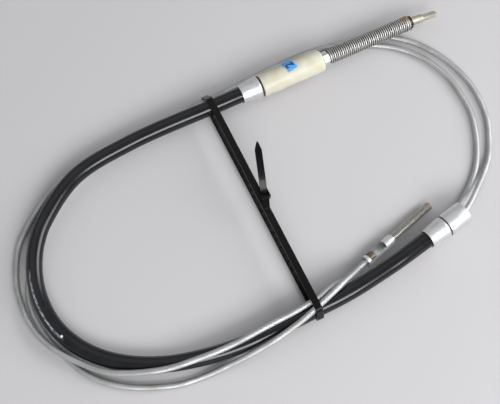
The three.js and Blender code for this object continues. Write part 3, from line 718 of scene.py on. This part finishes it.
# Spring and its seat
# A bright hexagonal seat stands against the sleeve. The coil spring has even turns with painted shade between
# them and a patch of rust on the last ones, and a dark ring keeps it on the rod.
SPRING_FROM = 55.52
SPRING_LENGTH = 67.2
SPRING_WIRE = 1.05
SPRING_RADIUS = 5.075
SPRING_TURNS = 42
SPRING_SIDES = 10
SPRING_ROUGHNESS = 0.48
TURN_STEPS = 26
PAINTED_TURN_SHADE_FAINT = 0.36
PAINTED_TURN_SHADE_FULL = 0.14
RUST_AT = (-3.3, 120.4, 3.7)
RUST_REACH = 0.0064
KEEPER_FROM = 123.07
zinc = metal_finish("bright_zinc", (0.82, 0.84, 0.84), (0.72, 0.74, 0.74), (0.3, 0.28, 0.24), 0.42, 0.3)


def kept_node(name, node, place, bevel):
    """A piece with the CAD node's own shape, its triangles merged and its flat faces joined.
    It is textured in the frame of the end that it sits on."""
    bm = bmesh.new()
    bm.from_mesh(nodes[node].data)
    bmesh.ops.remove_doubles(bm, verts=bm.verts, dist=1e-6)
    bmesh.ops.dissolve_limit(bm, angle_limit=math.radians(1), verts=bm.verts, edges=bm.edges)
    bmesh.ops.transform(bm, matrix=place.inverted(), verts=bm.verts)
    keep_own(bm)
    return placed(name, bm, place, bevel)


seat = kept_node("spring_seat_hexagon", "spring_seat", spring_frame, 0.00025)
dress(seat, zinc, "bright_zinc", "spring_seat")


def coil_line():
    length = SPRING_LENGTH - SPRING_WIRE
    steps = SPRING_TURNS * TURN_STEPS
    line = []
    for i in range(steps + 1):
        angle = 2 * math.pi * SPRING_TURNS * i / steps
        height = SPRING_FROM + SPRING_WIRE / 2 + length * i / steps
        local = Vector((SPRING_RADIUS * math.cos(angle), height, SPRING_RADIUS * math.sin(angle)))
        line.append(spring_frame @ (local / 1000))
    return line


def spring_edge(k, s):
    angle = 2 * math.pi * k / SPRING_SIDES
    radius = SPRING_WIRE / 2000
    return radius * math.cos(angle), radius * math.sin(angle)


def rust_effect():
    """Rust over a metal colour, broken up by noise, with the shader's metallic and roughness values."""
    graph, given, result = shared_effect(
        "rust",
        {"Place": "Vector", "Where": "Float", "Color": "Color", "Roughness": "Float"},
        {"Color": "Color", "Metallic": "Float", "Roughness": "Float"},
    )
    broken = graph.put(patches, Place=given["Place"], Scale=0.8, Detail=5.0, Low=0.32, High=0.5)["Mask"]
    amount = graph.math("MULTIPLY", given["Where"], broken)
    deep = graph.put(patches, Place=given["Place"], Scale=1.6, Detail=4.0, Low=0.4, High=0.65)["Mask"]
    brown = graph.blend(deep, (0.5, 0.24, 0.08), (0.28, 0.12, 0.04))
    metal = graph.math("SUBTRACT", 1.0, graph.math("MULTIPLY", amount, 0.9))
    rough = graph.math("MAXIMUM", given["Roughness"], graph.math("MULTIPLY", amount, 0.8))
    graph.tree.links.new(graph.blend(amount, given["Color"], brown), result["Color"])
    graph.tree.links.new(metal, result["Metallic"])
    graph.tree.links.new(rough, result["Roughness"])
    return graph.tree


rust = rust_effect()


def spring_finish():
    """Bright wire, dulled in patches, darkened between the turns by painted shade and rusted at one place."""
    finish = Finish("spring_steel", (0.72, 0.71, 0.68), SPRING_ROUGHNESS, 1.0)
    film = finish.put(patches, Place=finish.own, Scale=0.25, Detail=3.0, Low=0.36, High=0.68)["Mask"]
    color = finish.blend(film, (0.7, 0.7, 0.68), (0.52, 0.51, 0.49))
    in_spring = {
        "Vector": finish.node("ShaderNodeTexCoord").outputs["Object"],
        "Location": spring_frame.translation,
        "Rotation": (spring_frame @ Matrix.Rotation(-math.pi / 2, 4, "X")).to_euler(),
        "Scale": (0.001, 0.001, 0.001),
    }
    round_axis = finish.node("ShaderNodeMapping", in_spring, vector_type="TEXTURE").outputs["Vector"]
    outer = SPRING_RADIUS + PAINTED_TURN_SHADE_FAINT
    inner = SPRING_RADIUS + PAINTED_TURN_SHADE_FULL
    # Painted shade: the wire is darkened everywhere but on its outer crest, between the turns and toward the
    # rod.
    painted_turn_shade = finish.put(sunken, Place=round_axis, Outer=outer, Inner=inner)["Mask"]
    color = finish.blend(painted_turn_shade, color, (0.05, 0.045, 0.04))
    where = finish.put(near, Place=spring_frame @ (Vector(RUST_AT) / 1000), Reach=RUST_REACH)["Mask"]
    rusty = finish.put(rust, Place=finish.own, Where=where, Color=color, Roughness=SPRING_ROUGHNESS)
    finish.feed("Base Color", rusty["Color"])
    finish.feed("Metallic", rusty["Metallic"])
    finish.feed("Roughness", rusty["Roughness"])
    return finish.material


spring = wrapped("spring", coil_line(), SPRING_SIDES, spring_edge)
dress(spring, spring_finish(), "spring_steel", "return_spring")
KEEPER = [(3.75, KEEPER_FROM), (4.6, KEEPER_FROM), (4.6, KEEPER_FROM + 0.9), (3.75, KEEPER_FROM + 0.9)]
keeper = placed("spring_ring", turned_mesh(KEEPER), spring_frame, 0.0001)
# Dark steel whose near-black colour is partly painted shade, for the shadowed last turn beside it.
shaded_dark_steel = metal_finish(
    "shaded_dark_steel", (0.06, 0.05, 0.04), (0.04, 0.03, 0.025), (0.12, 0.07, 0.04), 0.55, 0.5
)
dress(keeper, shaded_dark_steel, "brown_steel", "spring_keeper")

# End rod
# Beyond the spring the rope ends in a round steel barrel that is pressed flat into a tang. Its zinc
# has gone dull and a little yellow.
ROD_PIVOT = 126.3
ROD_WAY = Vector((0.93, 0.361, -0.07))
old_zinc = metal_finish("dull_zinc", (0.66, 0.64, 0.55), (0.52, 0.5, 0.41), (0.3, 0.25, 0.18), 0.44, 0.4)
rod_frame = end_frame(along_end(SPRING_END, ROD_PIVOT), ROD_WAY)
end_rod = kept_node("end_rod_tang", "end_rod", rod_frame, 0.0005)
dress(end_rod, old_zinc, "dull_zinc", "end_rod")

# Coupling and stud
# The free end of the rope: a plated sleeve with a window that shows the rope's brown nipple,
# and a threaded stud screwed into it.
STUD_END = (Vector((72.7, -53.5, 7.4)), Vector((0.7359, 0.6738, -0.0687)))
STUD_RADIUS = 3.0
STUD_PITCH = 1.0
STUD_FROM = 18
STUD_TO = 62.6
STUD_SIDES = 32
STUD_RINGS = 357
STUD_CHAMFER = 0.8
THREAD_FROM = 25.4
THREAD_START = 0.6
THREAD_DEPTH = 0.55
brown_steel = metal_finish("brown_steel", (0.34, 0.28, 0.22), (0.2, 0.16, 0.12), (0.06, 0.04, 0.03), 0.5, 0.5)
stud_frame = end_frame(*STUD_END)
coupling = kept_node("coupling", "coupling_sleeve", stud_frame, 0.0002)
dress(coupling, zinc, "bright_zinc", "coupling_sleeve")
NIPPLE = [(0, 2.35), (2.5, 2.35), (2.7, 2.6), (2.7, 7.7), (2.5, 7.95), (0, 7.95)]
nipple = placed("nipple", turned_mesh(NIPPLE, 40, closed=False), stud_frame, 0)
dress(nipple, brown_steel, "brown_steel", "rope_nipple")


def thread_edge(k, s):
    """A corner of the stud's section: a plain shank inside the coupling, then the thread, then a chamfer."""
    height = STUD_FROM + s * 1000
    angle = 2 * math.pi * k / STUD_SIDES
    phase = (height / STUD_PITCH - k / STUD_SIDES) % 1
    depth = THREAD_DEPTH * abs(2 * phase - 1) * min(max((height - THREAD_FROM) / THREAD_START, 0), 1)
    radius = (STUD_RADIUS - depth - max(height - STUD_TO + STUD_CHAMFER, 0)) / 1000
    return radius * math.cos(angle), radius * math.sin(angle)


def stud_finish():
    """Grey plating, painted shade in the thread's roots, and a little rust at the tip."""
    finish = Finish("stud_zinc", (0.78, 0.77, 0.72), 0.44, 1.0)
    worn = finish.put(patches, Place=finish.own, Scale=0.4, Detail=3.0, Low=0.36, High=0.68)["Mask"]
    color = finish.blend(worn, (0.88, 0.87, 0.82), (0.72, 0.7, 0.64))
    # Painted shade: darker in the thread's roots.
    deep = finish.put(sunken, Place=finish.own, Outer=2.9, Inner=2.5)["Mask"]
    color = finish.blend(finish.math("MULTIPLY", deep, 0.85), color, (0.06, 0.058, 0.05))
    along = finish.node("ShaderNodeSeparateXYZ", {"Vector": finish.own}).outputs["Z"]
    tip = finish.span(along, STUD_TO - STUD_FROM - 5, STUD_TO - STUD_FROM, 0.0, 0.5)
    rusty = finish.put(rust, Place=finish.own, Where=tip, Color=color, Roughness=0.42)
    finish.feed("Base Color", rusty["Color"])
    finish.feed("Metallic", rusty["Metallic"])
    finish.feed("Roughness", rusty["Roughness"])
    return finish.material


stud_low = along_end(STUD_END, STUD_FROM) / 1000
stud_high = along_end(STUD_END, STUD_TO) / 1000
stud_line = evenly([stud_low, stud_high], STUD_RINGS)
stud = wrapped("stud", stud_line, STUD_SIDES, thread_edge)
dress(stud, stud_finish(), "dull_zinc", "adjuster_stud")

# Cable tie
# A black nylon tie round both bundles. The band is toothed on its inner face and goes through the head
# from below, and its pointed tail leans away from the head.
TIE_FROM = Vector((-29.8, 52.6, 0)) / 1000
TIE_TO = Vector((35.8, -82.4, 0)) / 1000
TIE_WIDTH = 0.0048
TIE_THICKNESS = 0.0012
TIE_CLEARANCE = 0.0005
TIE_ROUND = 0.00018
TIE_HEAD_ALONG = 0.071
TIE_HEAD_ACROSS = 0.0026
TIE_HEAD_UP = 0.0206
TIE_HEAD_SIZE = (0.007, 0.0054, 0.0074)
TIE_SLOT_RIM = 0.0011
TIE_SLOT_DEPTH = 0.0018
TOOTH_PITCH = 0.0011
TOOTH_DEPTH = 0.00035
BAND_RINGS = 2400
TAIL_RINGS = 280
CHANNEL_FLOOR = 0.00165
CHANNEL_EDGE = 0.00175
TAIL_WAY = Vector((-0.15, 0.989, 0))
TAIL_TEETH = (0.012, 0.031)
TAIL_TAPER = 0.0055
TAIL_NARROWING = 0.8


def upright_frame(at, way):
    """X along the plane, Y up, Z across it."""
    along = Vector((way.x, way.y, 0)).normalized()
    up = Vector((0, 0, 1))
    turn = Matrix((along, up, along.cross(up))).transposed().to_4x4()
    return Matrix.Translation(at) @ turn


def band_loop():
    """The middle of the band's thickness, round all of the conduit and rope that lies within its width."""
    to_plane = tie_frame.inverted()
    round_these = []
    for line, radius in ((conduit_line, CONDUIT_RADIUS), (rope_line, ROPE_RADIUS)):
        margin = radius + TIE_CLEARANCE + TIE_THICKNESS / 2
        ring = [margin * Vector((math.cos(i * math.pi / 12), math.sin(i * math.pi / 12))) for i in range(24)]
        for point in (to_plane @ p for p in line):
            if abs(point.z) < TIE_WIDTH / 2:
                round_these += [point.xy + corner for corner in ring]
    bm = bmesh.new()
    for x, y in round_these:
        bm.verts.new((x, y, 0))
    hull = bmesh.ops.convex_hull(bm, input=bm.verts)
    rim = [v for v in hull["geom"] if isinstance(v, bmesh.types.BMVert)]
    middle = sum((v.co for v in rim), Vector()) / len(rim)
    corners = sorted((v.co.copy() for v in rim), key=lambda c: math.atan2(c.y - middle.y, c.x - middle.x))
    bm.free()
    return corners


tie_frame = upright_frame(TIE_FROM, TIE_TO - TIE_FROM)


def strap_edge(taper_from=None, taper_to=None, toothed=(0.0, 1.0)):
    """The strap's section: rounded at its edges, with a toothed channel along its inner face."""
    side, face = TIE_WIDTH / 2, TIE_THICKNESS / 2
    flat, low = side - TIE_ROUND, face - TIE_ROUND
    corners = [
        (side, -low), (side, low), (flat, face), (-flat, face), (-side, low), (-side, -low), (-flat, -face),
        (-CHANNEL_EDGE, -face), (-CHANNEL_FLOOR, -face), (CHANNEL_FLOOR, -face), (CHANNEL_EDGE, -face),
        (flat, -face),
    ]

    def edge(k, s):
        a, b = corners[k]
        if k in (8, 9) and toothed[0] < s < toothed[1]:
            b += TOOTH_DEPTH * min(1, 3 * ((s / TOOTH_PITCH) % 1))
        if taper_from is not None and s > taper_from:
            a *= 1 - TAIL_NARROWING * (s - taper_from) / (taper_to - taper_from)
        return a, b

    return edge


def nylon_black():
    finish = Finish("black_nylon", (0.005, 0.005, 0.006), 0.24)
    finish.shader.inputs["Specular IOR Level"].default_value = 0.2
    dust = finish.put(patches, Place=finish.own, Scale=0.7, Detail=5.0, Low=0.6, High=0.85)["Mask"]
    finish.feed("Base Color", finish.blend(dust, (0.003, 0.003, 0.003), (0.02, 0.02, 0.021)))
    finish.feed("Roughness", finish.span(dust, 0.0, 1.0, 0.22, 0.4))
    finish.bump(finish.noise(finish.own, 1.6), 0.08, 0.0001)
    return finish.material


tie_material = nylon_black()
band_corners = band_loop()
chain = evenly(band_corners + band_corners[:1], BAND_RINGS)
start = min(range(len(chain)), key=lambda i: (chain[i] - Vector((TIE_HEAD_ALONG, TIE_HEAD_UP, 0))).length)
band_line = [tie_frame @ p for p in chain[start:-1] + chain[: start + 1]]
across_tie = tie_frame.to_3x3() @ Vector((0, 0, 1))
band = wrapped("tie_band", band_line, 12, strap_edge(), first_side=across_tie)
dress(band, tie_material, "black_nylon", "cable_tie")

head_frame = tie_frame @ Matrix.Translation((TIE_HEAD_ALONG, TIE_HEAD_UP, -TIE_HEAD_ACROSS))
tail_frame = upright_frame(head_frame.translation, TAIL_WAY)
tail_bend = Vector((0.001, 0.007, 0))
tail_tip = Vector((0.0317, 0.0186, 0))
tail_curve = []
for i in range(301):
    t = i / 300
    tail_curve.append(tail_frame @ (tail_bend * 2 * t * (1 - t) + tail_tip * t * t))
tail_length = length_of(tail_curve)
across_tail = tail_frame.to_3x3() @ Vector((0, 0, 1))
tail_edge = strap_edge(tail_length - TAIL_TAPER, tail_length, TAIL_TEETH)
tail = wrapped("tie_tail", evenly(tail_curve, TAIL_RINGS), 12, tail_edge, first_side=across_tail)
dress(tail, tie_material, "black_nylon")

head_mesh = bmesh.new()
bmesh.ops.create_cube(head_mesh, size=1)
bmesh.ops.scale(head_mesh, vec=TIE_HEAD_SIZE, verts=head_mesh.verts)
top_face = max(head_mesh.faces, key=lambda f: f.calc_center_median().y)
bmesh.ops.inset_individual(head_mesh, faces=[top_face], thickness=TIE_SLOT_RIM)
slot_floor = bmesh.ops.extrude_discrete_faces(head_mesh, faces=[top_face])["faces"][0]
bmesh.ops.translate(head_mesh, vec=(0, -TIE_SLOT_DEPTH, 0), verts=slot_floor.verts)
keep_own(head_mesh)
head = placed("tie_head", head_mesh, head_frame, 0.0005)
dress(head, tie_material, "black_nylon")

NECK_AT_HEAD = (Vector((0.003, 0, 0.0004)), 0.0034, 0.0058)
NECK_AT_BAND = (Vector((0.0098, -0.0002, TIE_HEAD_ACROSS)), 0.0013, 0.0046)
neck_mesh = bmesh.new()
bmesh.ops.create_cube(neck_mesh, size=1)
for vert in neck_mesh.verts:
    middle, height, width = NECK_AT_BAND if vert.co.x > 0 else NECK_AT_HEAD
    vert.co = middle + Vector((0, vert.co.y * height, vert.co.z * width))
keep_own(neck_mesh)
neck = placed("tie_neck", neck_mesh, head_frame, 0.0003)
dress(neck, tie_material, "black_nylon")
